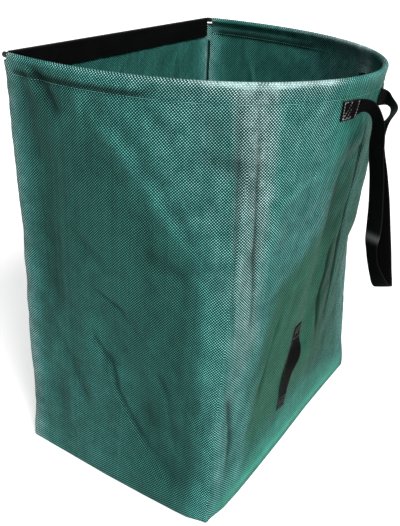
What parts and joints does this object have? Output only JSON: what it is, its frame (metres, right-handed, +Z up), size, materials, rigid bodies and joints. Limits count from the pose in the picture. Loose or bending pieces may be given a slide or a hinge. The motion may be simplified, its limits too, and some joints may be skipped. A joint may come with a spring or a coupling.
{
  "type": "dustpan leaf bag",
  "caption": "Tall open woven fabric garden bag with a straight lip on one side of a hooped mouth, a webbing carrying handle and a low tipping handle.",
  "frame": {"origin": "centre of the base panel's underside, on the surface the bag stands on", "axes": "+Z up; +X towards the side wall with the handles, so the straight lip is at -X; -Y towards the front wall"},
  "size_m": [0.5457, 0.5928, 0.7001],
  "materials": {
    "woven_fabric": "satin",
    "rod_plastic": "satin",
    "cap_plastic": "satin",
    "webbing": "matte"
  },
  "bodies": {
    "bag": {"front_wall": "woven_fabric", "back_wall": "woven_fabric", "handle_side_wall": "woven_fabric", "lip_side_wall": "woven_fabric", "base_panel": "woven_fabric", "hoop_rod": "rod_plastic", "rod_cap_front": "cap_plastic", "rod_cap_rear": "cap_plastic", "lip_bar": "rod_plastic", "lip_sleeve": "webbing", "top_handle_end_front": "webbing", "top_handle_end_rear": "webbing", "lower_handle": "webbing"},
    "top_handle": {"top_handle_loop": "webbing"}
  },
  "joints": [
    {"name": "top_handle_swing", "type": "hinge", "parent": "bag", "child": "top_handle", "pos_m": [0.284, 0, 0.648], "axis": [0, -1, 0], "range_deg": [-10, 165]}
  ]
}
